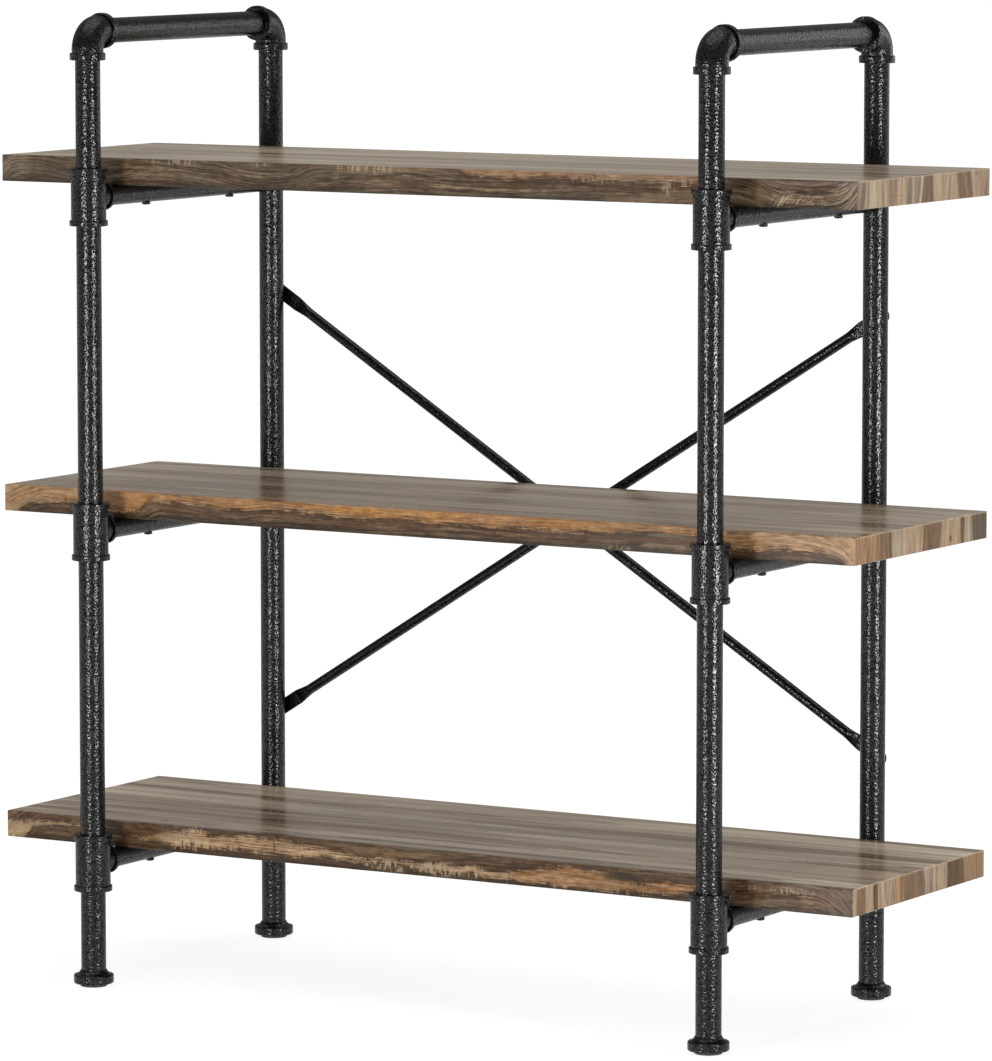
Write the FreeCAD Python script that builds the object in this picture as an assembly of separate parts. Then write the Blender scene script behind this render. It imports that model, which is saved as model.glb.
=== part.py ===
import FreeCAD, Part
import math
import os

from FreeCAD import Vector

# Pipe shelving unit, in millimetres. +Z is up, -Y is the front and the floor is at z = 0.
# The origin is on the floor, midway between the four posts.

# Shelves
SHELF_LENGTH = 1200.0
SHELF_DEPTH = 344.0
SHELF_THICKNESS = 33.0
SHELF_EDGE_ROUND = 1.2
BOTTOM_SHELF_TOP = 201.0
SHELF_PITCH = 413.0
SHELF_OVERHANG = 164.0  # from the post axis out to the end of the shelf
SHELF_FRONT_CLEARANCE = 16.4  # between the tee's rear mouth and the shelf's front edge
SHELF_REAR_GAP = 5.7  # between the shelf's rear edge and the rear post

# Posts and top rails, one size of tube
POST_OD = 31.0
POST_WALL = 1.5
TOP_RAIL_RISE = 157.0  # axis of the top rail above the top shelf

# Support rails under the shelves
RAIL_OD = 25.4
RAIL_WALL = 1.5

# Fits
SOCKET_CLEARANCE = 0.1  # radial, tube in fitting
HOLE_CLEARANCE = 0.2  # radial, fastener through a plain hole
THREAD_CLEARANCE = 0.05  # radial, plain cylinders that stand for a thread
CUT_OVERRUN = 2.0  # how far every cut runs past the face that it opens

# Pipe tees
TEE_WALL = 6.2
TEE_STOP_MARGIN = 2.3  # from the rear passage to the shoulder that stops the post
TEE_SOCKET_DEPTH = 22.0
TEE_BAND_HEIGHT = 7.0
TEE_BAND_STAND = 2.0
BRANCH_STOP = 1.9  # wall between the post and the rail's stop
BRANCH_SOCKET_DEPTH = 16.0
BRANCH_WALL = 2.8
BRANCH_BAND_LENGTH = 5.5
BRANCH_BAND_STAND = 2.4
BAND_EDGE_ROUND = 1.1

# Pipe elbows
ELBOW_WALL = 4.0
ELBOW_THROAT_RADIUS = 3.5  # inside of the bend
ELBOW_COLLAR = 12.0  # straight part from the bend to the mouth
ELBOW_STOP_MARGIN = 2.0  # keeps the two tube ends clear of each other
ELBOW_BAND_HEIGHT = 9.0
ELBOW_BAND_STAND = 2.5

# Foot flanges
FLANGE_LIFT = 3.6  # underside above the floor
FLANGE_HEIGHT = 11.6
FLANGE_RIM = 9.3  # rim beyond the socket
FLANGE_EDGE_ROUND = 2.2  # on the rim's upper and lower edges
FLANGE_HUB_HEIGHT = 5.4
FLANGE_HUB_WALL = 0.8
FLANGE_LIP = 2.5  # floor of the socket, which the post stands on
FLANGE_LIP_WIDTH = 9.0
FLANGE_FLARE_SHARE = 0.14  # hollow of the hub's flare, as a share of its chord

# Levelling feet
PAD_OD = 33.4
PAD_GAP = 0.4  # pad to flange with the foot screwed right in
PAD_EDGE_ROUND = 0.6
PAD_SOLE = 0.9  # pad under the stud's head
STUD_OD = 8.0
STUD_HEAD_OD = 18.0
STUD_HEAD_HEIGHT = 1.2
STUD_TIP = 6.5  # stud past the top of its insert
INSERT_LENGTH = 18.0

# Bolts, all button heads with a hexagon socket
BOLT_OD = 6.0
BOLT_HEAD_OD = 10.5
BOLT_HEAD_HEIGHT = 3.3
BOLT_KEY = 4.0
BOLT_KEY_DEPTH = 2.0
HEAD_DOME_SHARE = 0.75  # rounding of a head's top edge, as a share of its height

# Rail ends at the rear posts
PLUG_LENGTH = 26.0
PLUG_RECESS = 2.0  # plug's face inside the rail's shaped end
RAIL_BOLT_BITE = 18.0
RAIL_BOLT_TIP_ROOM = 2.0

# Shelf screws, pan heads with a cross recess
SCREW_OD = 5.0
SCREW_HEAD_OD = 11.0
SCREW_HEAD_HEIGHT = 3.0
SCREW_SPACING = 190.0
SCREW_BITE_SHARE = 0.65  # of the shelf's thickness
SCREW_TIP_ROOM = 1.0
CROSS_LENGTH = 5.0
CROSS_WIDTH = 1.3
CROSS_DEPTH = 1.6

# X brace behind the rear posts
BRACE_OD = 13.0
BRACE_WALL = 1.2
BRACE_SLIT = 0.8  # what is left of the bore where the tube is pressed flat
BRACE_RISE = 544.0  # between the upper and the lower bolts
BRACE_FLAT_MARGIN = 9.0  # flat beyond what it lies against
BRACE_TAPER = 20.0  # from flat to round
RIVET_NUT_OD = 9.0
RIVET_NUT_LENGTH = 14.0
RIVET_FLANGE_OD = 13.0
RIVET_FLANGE_HEIGHT = 1.0
BRACE_BOLT_PAST_NUT = 2.0
CENTRE_NUT_FLATS = 10.0
CENTRE_NUT_HEIGHT = 5.0

# Worked out from the sizes above
SIDES = (("left", -1), ("right", 1))
DEPTHS = (("front", -1), ("rear", 1))
LEVELS = ("bottom", "middle", "top")
X_AXIS = Vector(1, 0, 0)
Y_AXIS = Vector(0, 1, 0)
Z_AXIS = Vector(0, 0, 1)
FULL_TURN = 360
HEX_SIDES = 6

post_radius = POST_OD / 2
post_bore = post_radius - POST_WALL
post_socket = post_radius + SOCKET_CLEARANCE
rail_radius = RAIL_OD / 2
rail_bore = rail_radius - RAIL_WALL
rail_socket = rail_radius + SOCKET_CLEARANCE
bolt_radius = BOLT_OD / 2
bolt_hole = bolt_radius + HOLE_CLEARANCE
bolt_thread = bolt_radius + THREAD_CLEARANCE

tee_radius = post_socket + TEE_WALL
tee_stop = rail_bore + TEE_STOP_MARGIN
tee_half = tee_stop + TEE_SOCKET_DEPTH
branch_stop = post_socket + BRANCH_STOP
branch_mouth = branch_stop + BRANCH_SOCKET_DEPTH

post_x = SHELF_LENGTH / 2 - SHELF_OVERHANG
front_gap = branch_mouth - post_radius + SHELF_FRONT_CLEARANCE
post_y = (SHELF_DEPTH + front_gap + SHELF_REAR_GAP) / 2 + post_radius
shelf_rear = post_y - post_radius - SHELF_REAR_GAP
shelf_front = shelf_rear - SHELF_DEPTH
shelf_middle_y = (shelf_front + shelf_rear) / 2

shelf_tops = {level: BOTTOM_SHELF_TOP + n * SHELF_PITCH for n, level in enumerate(LEVELS)}
shelf_undersides = {level: top - SHELF_THICKNESS for level, top in shelf_tops.items()}
rail_heights = {level: under - rail_radius for level, under in shelf_undersides.items()}
top_rail_height = shelf_tops["top"] + TOP_RAIL_RISE

elbow_radius = post_socket + ELBOW_WALL
elbow_bend = elbow_radius + ELBOW_THROAT_RADIUS
elbow_mouth = elbow_bend + ELBOW_COLLAR
elbow_stop = post_radius + ELBOW_STOP_MARGIN

post_foot = FLANGE_LIFT + FLANGE_LIP
post_head = top_rail_height - elbow_stop
pad_top = FLANGE_LIFT - PAD_GAP
stud_radius = STUD_OD / 2
stud_top = post_foot + INSERT_LENGTH + STUD_TIP

screw_radius = SCREW_OD / 2
screw_bite = SHELF_THICKNESS * SCREW_BITE_SHARE

# A tube that is pressed flat keeps its perimeter, so its width follows from its diameter
brace_radius = BRACE_OD / 2
flat_thickness = 2 * BRACE_WALL + BRACE_SLIT
flat_width = math.pi * (BRACE_OD - flat_thickness) / 2 + flat_thickness
brace_front = post_y + post_radius + RIVET_FLANGE_HEIGHT
brace_plane = brace_front + flat_thickness / 2
brace_middle = rail_heights["middle"]
brace_slope = math.atan2(BRACE_RISE, 2 * post_x)
brace_half = math.hypot(post_x, BRACE_RISE / 2)


def rod(radius, start, end):
    """Solid round bar between two points."""
    run = end - start
    return Part.makeCylinder(radius, run.Length, start, run)


def drill(radius, start, end):
    """Round cutter between two points that runs past both of them."""
    over = (end - start).normalize() * CUT_OVERRUN
    return rod(radius, start - over, end + over)


def tube(outer, bore, start, end):
    """Round tube between two points."""
    return rod(outer, start, end).cut(drill(bore, start, end))


def fused(first, *others):
    """One solid from several that touch, with no seams left between them."""
    return first.multiFuse(list(others)).removeSplitter()


def circles_of(shape):
    """Circular edges of a shape."""
    return [e for e in shape.Edges if isinstance(e.Curve, Part.Circle)]


def band(radius, start, end):
    """Raised band of a pipe fitting: a short bar with both edges rounded."""
    bar = rod(radius, start, end)
    return bar.makeFillet(BAND_EDGE_ROUND, circles_of(bar))


def lathe(edges):
    """Solid turned about Z from a closed outline in the XZ plane."""
    face = Part.Face(Part.Wire(edges))
    return face.revolve(Vector(0, 0, 0), Z_AXIS, FULL_TURN)


def line(start, end):
    """Straight edge between two points."""
    return Part.LineSegment(start, end).toShape()


def arc(start, middle, end):
    """Round edge through three points."""
    return Part.Arc(start, middle, end).toShape()


def at(shape, place, direction=Z_AXIS):
    """Copy of a shape modelled along +Z, turned to a direction and moved to a place."""
    turn = FreeCAD.Rotation(Z_AXIS, direction)
    copy = shape.copy()
    copy.Placement = FreeCAD.Placement(place, turn).multiply(copy.Placement)
    return copy


def save(name, *solids):
    """Writes one node: a solid, or a group of separate solids."""
    shape = solids[0] if len(solids) == 1 else Part.makeCompound(list(solids))
    shape.exportStep(os.path.join("parts", name + ".step"))


def hexagon(across_flats, bottom, top):
    """Six-sided prism about Z."""
    corner = across_flats / 2 / math.cos(math.pi / HEX_SIDES)
    turns = [2 * math.pi * n / HEX_SIDES for n in range(HEX_SIDES + 1)]
    points = [Vector(corner * math.cos(t), corner * math.sin(t), bottom) for t in turns]
    return Part.Face(Part.makePolygon(points)).extrude(Z_AXIS * (top - bottom))


def domed_head(diameter, height):
    """Screw head standing on z = 0 with its top edge rounded."""
    head = rod(diameter / 2, Vector(0, 0, 0), Z_AXIS * height)
    top = [e for e in circles_of(head) if e.CenterOfMass.z > height / 2]
    return head.makeFillet(height * HEAD_DOME_SHARE, top)


def button_bolt(length):
    """Button-head bolt: the head stands on z = 0 and the shank points down."""
    head = domed_head(BOLT_HEAD_OD, BOLT_HEAD_HEIGHT)
    shank = rod(bolt_radius, Vector(0, 0, 0), Z_AXIS * -length)
    key_floor = BOLT_HEAD_HEIGHT - BOLT_KEY_DEPTH
    key = hexagon(BOLT_KEY, key_floor, BOLT_HEAD_HEIGHT + CUT_OVERRUN)
    return fused(head, shank).cut(key)


def pan_screw(length):
    """Pan-head screw with a cross recess, laid out as the bolt is."""
    head = domed_head(SCREW_HEAD_OD, SCREW_HEAD_HEIGHT)
    shank = rod(screw_radius, Vector(0, 0, 0), Z_AXIS * -length)
    floor = SCREW_HEAD_HEIGHT - CROSS_DEPTH
    screw = fused(head, shank)
    for size_x, size_y in ((CROSS_LENGTH, CROSS_WIDTH), (CROSS_WIDTH, CROSS_LENGTH)):
        corner = Vector(-size_x / 2, -size_y / 2, floor)
        screw = screw.cut(Part.makeBox(size_x, size_y, CROSS_DEPTH + CUT_OVERRUN, corner))
    return screw


def rail_screw_places(level):
    """Points under the rails of one shelf where its screws go in."""
    under = rail_heights[level] - rail_radius
    return [
        Vector(side * post_x, shelf_middle_y + end * SCREW_SPACING / 2, under)
        for _, side in SIDES
        for end in (-1, 1)
    ]


def make_shelves():
    """Three boards with eased edges and blind holes for the screws."""
    hole_top = screw_bite + SCREW_TIP_ROOM
    for level in LEVELS:
        corner = Vector(-SHELF_LENGTH / 2, shelf_front, shelf_undersides[level])
        board = Part.makeBox(SHELF_LENGTH, SHELF_DEPTH, SHELF_THICKNESS, corner)
        board = board.makeFillet(SHELF_EDGE_ROUND, board.Edges)
        for place in rail_screw_places(level):
            mouth = Vector(place.x, place.y, shelf_undersides[level])
            start = mouth - Z_AXIS * CUT_OVERRUN
            board = board.cut(rod(screw_radius + THREAD_CLEARANCE, start, mouth + Z_AXIS * hole_top))
        save("shelf_" + level, board)


def make_front_posts():
    """Front posts, cut at the tees into four lengths each."""
    heights = [rail_heights[level] for level in LEVELS]
    starts = [post_foot] + [height + tee_stop for height in heights]
    ends = [height - tee_stop for height in heights] + [post_head]
    for side_name, side in SIDES:
        for piece, bottom, top in zip(("leg", "lower", "upper", "top"), starts, ends):
            foot = Vector(side * post_x, -post_y, bottom)
            head = Vector(side * post_x, -post_y, top)
            save(f"front_post_{side_name}_{piece}", tube(post_radius, post_bore, foot, head))


def make_rear_posts():
    """Rear posts, one length each, drilled for the rail bolts and the rivet nuts."""
    for side_name, side in SIDES:
        axis = Vector(side * post_x, post_y, 0)
        post = tube(post_radius, post_bore, axis + Z_AXIS * post_foot, axis + Z_AXIS * post_head)
        across = Y_AXIS * post_radius
        for level in LEVELS:
            middle = axis + Z_AXIS * rail_heights[level]
            post = post.cut(drill(bolt_hole, middle - across, middle + across))
        for end in (-1, 1):
            middle = axis + Z_AXIS * (brace_middle + end * BRACE_RISE / 2)
            post = post.cut(drill(RIVET_NUT_OD / 2 + HOLE_CLEARANCE, middle + across / 2, middle + across))
        save(f"rear_post_{side_name}", post)


def tee():
    """Pipe tee about the origin: the post runs along Z and the third mouth points to +Y."""
    ends = [Z_AXIS * -tee_half, Z_AXIS * tee_half]
    band_radius = tee_radius + TEE_BAND_STAND
    branch_radius = rail_socket + BRANCH_WALL
    mouth = Y_AXIS * branch_mouth
    body = fused(
        rod(tee_radius, *ends),
        band(band_radius, ends[0], ends[0] + Z_AXIS * TEE_BAND_HEIGHT),
        band(band_radius, ends[1] - Z_AXIS * TEE_BAND_HEIGHT, ends[1]),
        rod(branch_radius, Vector(0, 0, 0), mouth),
        band(branch_radius + BRANCH_BAND_STAND, mouth - Y_AXIS * BRANCH_BAND_LENGTH, mouth),
    )
    for end in (-1, 1):
        stop = Z_AXIS * (end * tee_stop)
        body = body.cut(rod(post_socket, stop, Z_AXIS * (end * (tee_half + CUT_OVERRUN))))
    body = body.cut(drill(post_bore, Z_AXIS * -tee_stop, Z_AXIS * tee_stop))
    body = body.cut(rod(rail_socket, Y_AXIS * branch_stop, Y_AXIS * (branch_mouth + CUT_OVERRUN)))
    return body.cut(rod(rail_bore, Vector(0, 0, 0), Y_AXIS * (branch_stop + CUT_OVERRUN)))


def make_tees():
    """Three tees on each front post, level with the rails."""
    pattern = tee()
    for side_name, side in SIDES:
        for level in LEVELS:
            place = Vector(side * post_x, -post_y, rail_heights[level])
            save(f"tee_{side_name}_{level}", at(pattern, place))


def bent(radius):
    """Quarter bend of a round bar, from the post's axis to the top rail's."""
    start = Z_AXIS * -elbow_bend
    face = Part.Face(Part.Wire(Part.makeCircle(radius, start, Z_AXIS)))
    centre = Vector(0, elbow_bend, -elbow_bend)
    return face.revolve(centre, -X_AXIS, FULL_TURN / 4)


def elbow():
    """Pipe elbow about the crossing of its axes: one mouth points down and one to +Y."""
    band_radius = elbow_radius + ELBOW_BAND_STAND
    pieces = []
    cuts = [bent(post_bore)]
    for way in (-Z_AXIS, Y_AXIS):
        mouth = way * elbow_mouth
        pieces.append(rod(elbow_radius, way * elbow_bend, mouth))
        pieces.append(band(band_radius, mouth - way * ELBOW_BAND_HEIGHT, mouth))
        cuts.append(rod(post_socket, way * elbow_stop, way * (elbow_mouth + CUT_OVERRUN)))
    return fused(bent(elbow_radius), *pieces).cut(cuts)


def make_elbows():
    """An elbow on each post. The rear ones are turned to face the front."""
    pattern = elbow()
    for side_name, side in SIDES:
        for depth_name, depth in DEPTHS:
            piece = pattern.copy()
            if depth > 0:
                piece.rotate(Vector(0, 0, 0), Z_AXIS, FULL_TURN / 2)
            place = Vector(side * post_x, depth * post_y, top_rail_height)
            save(f"elbow_{depth_name}_{side_name}", at(piece, place))


def make_top_rails():
    """Top rails between the front and the rear elbows."""
    reach = Y_AXIS * (post_y - elbow_stop)
    for side_name, side in SIDES:
        middle = Vector(side * post_x, 0, top_rail_height)
        save(f"top_rail_{side_name}", tube(post_radius, post_bore, middle - reach, middle + reach))


def make_support_rails():
    """Rails from the tees to the rear posts, shaped to the post at the back."""
    for side_name, side in SIDES:
        post_axis = Vector(side * post_x, post_y, 0)
        for level in LEVELS:
            height = Z_AXIS * rail_heights[level]
            front = Vector(side * post_x, branch_stop - post_y, rail_heights[level])
            rail = tube(rail_radius, rail_bore, front, post_axis + height)
            around = Z_AXIS * RAIL_OD
            rail = rail.cut(rod(post_socket, post_axis + height - around, post_axis + height + around))
            for place in rail_screw_places(level):
                if place.x * side > 0:
                    rail = rail.cut(drill(screw_radius + HOLE_CLEARANCE, place, place + Z_AXIS * RAIL_OD))
            save(f"support_rail_{side_name}_{level}", rail)


def make_rail_fasteners():
    """Threaded plugs in the rails' rear ends and the bolts that come in through the posts."""
    face = post_y - post_radius - PLUG_RECESS
    length = post_radius + post_y - face + RAIL_BOLT_BITE
    bolt = button_bolt(length)
    plugs = []
    bolts = []
    for _, side in SIDES:
        for level in LEVELS:
            mouth = Vector(side * post_x, face, rail_heights[level])
            plug = rod(rail_bore - SOCKET_CLEARANCE, mouth - Y_AXIS * PLUG_LENGTH, mouth)
            hole_floor = mouth - Y_AXIS * (RAIL_BOLT_BITE + RAIL_BOLT_TIP_ROOM)
            plugs.append(plug.cut(rod(bolt_thread, hole_floor, mouth + Y_AXIS * CUT_OVERRUN)))
            seat = Vector(side * post_x, post_y + post_radius, rail_heights[level])
            bolts.append(at(bolt, seat, Y_AXIS))
    save("rail_end_plugs", *plugs)
    save("rail_bolts", *bolts)


def make_shelf_screws():
    """Screws up through the rails into each shelf, one group for a shelf."""
    screw = pan_screw(RAIL_OD + screw_bite)
    for level in LEVELS:
        save(f"shelf_screws_{level}", *[at(screw, p, -Z_AXIS) for p in rail_screw_places(level)])


def foot_flange():
    """Round flange with a straight rim, rounded edges and a flared hub, its underside on z = 0."""
    rim = post_socket + FLANGE_RIM
    shoulder = rim - FLANGE_EDGE_ROUND
    ease = FLANGE_EDGE_ROUND / math.sqrt(2)
    side_top = FLANGE_HEIGHT - FLANGE_EDGE_ROUND
    hub = post_socket + FLANGE_HUB_WALL
    top = FLANGE_HEIGHT + FLANGE_HUB_HEIGHT
    hole = post_socket - FLANGE_LIP_WIDTH
    rim_foot = Vector(shoulder, 0, 0)
    low_round = Vector(shoulder + ease, 0, FLANGE_EDGE_ROUND - ease)
    side_foot = Vector(rim, 0, FLANGE_EDGE_ROUND)
    side_head = Vector(rim, 0, side_top)
    high_round = Vector(shoulder + ease, 0, side_top + ease)
    rim_head = Vector(shoulder, 0, FLANGE_HEIGHT)
    hub_head = Vector(hub, 0, top)
    chord = hub_head - rim_head
    inward = Vector(-chord.z, 0, chord.x)
    flare = (rim_head + hub_head) / 2 + inward * FLANGE_FLARE_SHARE
    bore_head = Vector(post_socket, 0, top)
    bore_foot = Vector(post_socket, 0, FLANGE_LIP)
    lip_head = Vector(hole, 0, FLANGE_LIP)
    lip_foot = Vector(hole, 0, 0)
    return lathe(
        [
            line(lip_foot, rim_foot),
            arc(rim_foot, low_round, side_foot),
            line(side_foot, side_head),
            arc(side_head, high_round, rim_head),
            arc(rim_head, flare, hub_head),
            line(hub_head, bore_head),
            line(bore_head, bore_foot),
            line(bore_foot, lip_head),
            line(lip_head, lip_foot),
        ]
    )


def levelling_pad():
    """Glide disc on the floor, with a seat for the head of its stud."""
    disc = rod(PAD_OD / 2, Vector(0, 0, 0), Z_AXIS * pad_top)
    disc = disc.makeFillet(PAD_EDGE_ROUND, circles_of(disc))
    seat = rod(STUD_HEAD_OD / 2 + SOCKET_CLEARANCE, Z_AXIS * PAD_SOLE, Z_AXIS * (pad_top + CUT_OVERRUN))
    return disc.cut(seat)


def levelling_stud():
    """Threaded stud with a flat head that sits in the pad."""
    head_top = Z_AXIS * (PAD_SOLE + STUD_HEAD_HEIGHT)
    head = rod(STUD_HEAD_OD / 2, Z_AXIS * PAD_SOLE, head_top)
    return fused(head, rod(stud_radius, head_top, Z_AXIS * stud_top))


def make_feet():
    """Flange, levelling pad and stud under each post, and the threaded inserts in the posts."""
    flange = foot_flange()
    pad = levelling_pad()
    stud = levelling_stud()
    insert_foot = Z_AXIS * post_foot
    insert_head = Z_AXIS * (post_foot + INSERT_LENGTH)
    insert = tube(post_bore - SOCKET_CLEARANCE, stud_radius + THREAD_CLEARANCE, insert_foot, insert_head)
    inserts = []
    for side_name, side in SIDES:
        for depth_name, depth in DEPTHS:
            place = Vector(side * post_x, depth * post_y, 0)
            corner = f"{depth_name}_{side_name}"
            save("foot_flange_" + corner, at(flange, place + Z_AXIS * FLANGE_LIFT))
            save("levelling_pad_" + corner, at(pad, place))
            save("levelling_stud_" + corner, at(stud, place))
            inserts.append(at(insert, place))
    save("levelling_inserts", *inserts)


def brace_section(along, aside, half_thickness, half_width):
    """Outline across a brace tube, round or pressed flat, as two long sides and two ends."""
    if half_width > half_thickness:
        side = half_width - half_thickness
        lift = half_thickness
    else:
        side = lift = half_width / math.sqrt(2)
    tops = (aside + half_thickness, aside - half_thickness)
    corners = [
        Vector(along, aside + lift, -side),
        Vector(along, aside + lift, side),
        Vector(along, aside - lift, side),
        Vector(along, aside - lift, -side),
    ]
    if half_width > half_thickness:
        upper = line(corners[0], corners[1])
        lower = line(corners[2], corners[3])
    else:
        upper = arc(corners[0], Vector(along, tops[0], 0), corners[1])
        lower = arc(corners[2], Vector(along, tops[1], 0), corners[3])
    near = arc(corners[1], Vector(along, aside, half_width), corners[2])
    far = arc(corners[3], Vector(along, aside, -half_width), corners[0])
    return Part.Wire([upper, near, lower, far])


def brace_run(shrink, overrun):
    """Solid along a brace from end to end, smaller all round by the wall when that is given."""
    aside = -flat_thickness / 2
    half_flat = flat_thickness / 2 - shrink
    half_wide = flat_width / 2 - shrink
    round_radius = brace_radius - shrink
    post_reach = (post_radius + flat_width / 2 * math.sin(brace_slope)) / math.cos(brace_slope)
    end_flat = brace_half - post_reach - BRACE_FLAT_MARGIN
    crossing = 2 * brace_slope
    crossing_reach = flat_width / 2 * (1 + math.cos(crossing)) / math.sin(crossing)
    middle_flat = crossing_reach + BRACE_FLAT_MARGIN
    tip = brace_half + flat_width / 2 + overrun
    half_run = [
        (middle_flat, aside, half_flat, half_wide),
        (middle_flat + BRACE_TAPER, 0, round_radius, round_radius),
        (end_flat - BRACE_TAPER, 0, round_radius, round_radius),
        (end_flat, 0, half_flat, half_wide),
        (tip, 0, half_flat, half_wide),
    ]
    other_half = [(-along, *rest) for along, *rest in reversed(half_run)]
    wires = [brace_section(*section) for section in other_half + half_run]
    return Part.makeLoft(wires, True, True)


def brace():
    """Brace along X about its crossing, flat faces across Y, its middle flat set towards -Y."""
    bar = brace_run(0, 0).cut(brace_run(BRACE_WALL, CUT_OVERRUN))
    half_width = flat_width / 2
    corners = [Vector(x, -BRACE_OD, z) for x, z in
               ((-brace_half, -half_width), (brace_half, -half_width),
                (brace_half, half_width), (-brace_half, half_width))]
    right_tip = Vector(brace_half + half_width, -BRACE_OD, 0)
    left_tip = Vector(-brace_half - half_width, -BRACE_OD, 0)
    outline = Part.Wire(
        [
            line(corners[0], corners[1]),
            arc(corners[1], right_tip, corners[2]),
            line(corners[2], corners[3]),
            arc(corners[3], left_tip, corners[0]),
        ]
    )
    bar = bar.common(Part.Face(outline).extrude(Y_AXIS * 2 * BRACE_OD))
    for along in (-brace_half, 0, brace_half):
        middle = X_AXIS * along
        bar = bar.cut(drill(bolt_hole, middle - Y_AXIS * flat_thickness, middle + Y_AXIS * flat_thickness))
    return bar


def make_braces():
    """Two braces that cross: the middle of one is pressed forwards and of the other backwards."""
    centre = Vector(0, brace_plane, brace_middle)
    slope = math.degrees(brace_slope)
    front_bar = brace()
    rear_bar = brace()
    rear_bar.rotate(Vector(0, 0, 0), X_AXIS, FULL_TURN / 2)
    front_bar.rotate(Vector(0, 0, 0), Y_AXIS, slope)
    rear_bar.rotate(Vector(0, 0, 0), Y_AXIS, -slope)
    front_bar.translate(centre)
    rear_bar.translate(centre)
    save("brace_falling", front_bar)
    save("brace_rising", rear_bar)


def make_brace_fasteners():
    """Rivet nuts and bolts at the brace ends, and the bolt and nut at the crossing."""
    nut_sleeve = rod(RIVET_NUT_OD / 2, Vector(0, 0, 0), Z_AXIS * -RIVET_NUT_LENGTH)
    nut_flange = rod(RIVET_FLANGE_OD / 2, Vector(0, 0, 0), Z_AXIS * RIVET_FLANGE_HEIGHT)
    thread = drill(bolt_thread, Z_AXIS * -RIVET_NUT_LENGTH, Z_AXIS * RIVET_FLANGE_HEIGHT)
    rivet_nut = fused(nut_sleeve, nut_flange).cut(thread)
    bolt = button_bolt(flat_thickness + RIVET_FLANGE_HEIGHT + RIVET_NUT_LENGTH + BRACE_BOLT_PAST_NUT)
    nuts = []
    bolts = []
    for _, side in SIDES:
        for end in (-1, 1):
            height = brace_middle + end * BRACE_RISE / 2
            nuts.append(at(rivet_nut, Vector(side * post_x, post_y + post_radius, height), Y_AXIS))
            bolts.append(at(bolt, Vector(side * post_x, brace_front + flat_thickness, height), Y_AXIS))
    save("brace_rivet_nuts", *nuts)
    save("brace_bolts", *bolts)
    nut_hole = drill(bolt_thread, Vector(0, 0, 0), Z_AXIS * CENTRE_NUT_HEIGHT)
    centre_nut = hexagon(CENTRE_NUT_FLATS, 0, CENTRE_NUT_HEIGHT).cut(nut_hole)
    centre_bolt = button_bolt(2 * flat_thickness + CENTRE_NUT_HEIGHT + BRACE_BOLT_PAST_NUT)
    crossing = Vector(0, brace_plane, brace_middle)
    nut_seat = crossing - Y_AXIS * flat_thickness
    head_seat = crossing + Y_AXIS * flat_thickness
    save("brace_centre_nut", at(centre_nut, nut_seat, -Y_AXIS))
    save("brace_centre_bolt", at(centre_bolt, head_seat, Y_AXIS))


os.makedirs("parts", exist_ok=True)
make_shelves()
make_front_posts()
make_rear_posts()
make_tees()
make_elbows()
make_top_rails()
make_support_rails()
make_rail_fasteners()
make_shelf_screws()
make_feet()
make_braces()
make_brace_fasteners()
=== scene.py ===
"""Looks of a free-standing pipe shelving unit.

Hammered black pipe work carries three stave boards in a plain white studio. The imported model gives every
place and size in metres, with +Z up, -Y at the front and the floor at z = 0.
"""

import logging
import math
from dataclasses import dataclass
from enum import Enum, StrEnum
from functools import cache
from typing import NamedTuple

import bpy
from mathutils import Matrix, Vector


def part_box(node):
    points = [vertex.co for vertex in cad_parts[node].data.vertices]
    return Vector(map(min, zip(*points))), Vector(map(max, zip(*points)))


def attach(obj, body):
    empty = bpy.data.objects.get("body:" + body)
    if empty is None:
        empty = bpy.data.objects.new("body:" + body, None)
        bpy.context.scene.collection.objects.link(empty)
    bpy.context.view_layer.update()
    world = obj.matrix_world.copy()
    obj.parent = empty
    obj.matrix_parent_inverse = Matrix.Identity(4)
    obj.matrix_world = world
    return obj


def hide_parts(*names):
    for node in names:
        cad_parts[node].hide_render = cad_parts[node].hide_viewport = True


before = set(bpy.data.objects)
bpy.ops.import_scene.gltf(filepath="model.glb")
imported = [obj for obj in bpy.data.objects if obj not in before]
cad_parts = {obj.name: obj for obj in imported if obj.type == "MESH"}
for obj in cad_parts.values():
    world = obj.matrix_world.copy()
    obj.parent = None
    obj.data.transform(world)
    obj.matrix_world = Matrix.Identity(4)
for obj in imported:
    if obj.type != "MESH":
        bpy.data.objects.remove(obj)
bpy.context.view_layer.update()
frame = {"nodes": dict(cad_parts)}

MM = 0.001
FRAME_BODY = "shelving_frame"
CORNERS = ("front_left", "front_right", "rear_left", "rear_right")
NOISE_SPAN = (0.3, 0.7)  # Most of a noise lies between these.
SOFT_ANGLE = math.radians(35)  # Faces that meet at less than this look like one.
END_FACING = 0.7  # A face whose normal goes along X by more than this is an end of a board.
LOG = logging.getLogger("pipe_shelving")

Colour = tuple[float, float, float, float]
Curve = tuple[tuple[float, float], ...]
Sizes = tuple[float, float, float]
Material = bpy.types.Material
Outputs = bpy.types.NodeOutputs
Piece = bpy.types.Object
Socket = bpy.types.NodeSocket
Tree = bpy.types.NodeTree


class Level(Enum):
    """The three shelves, from the floor up."""

    BOTTOM = "bottom"
    MIDDLE = "middle"
    TOP = "top"


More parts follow.
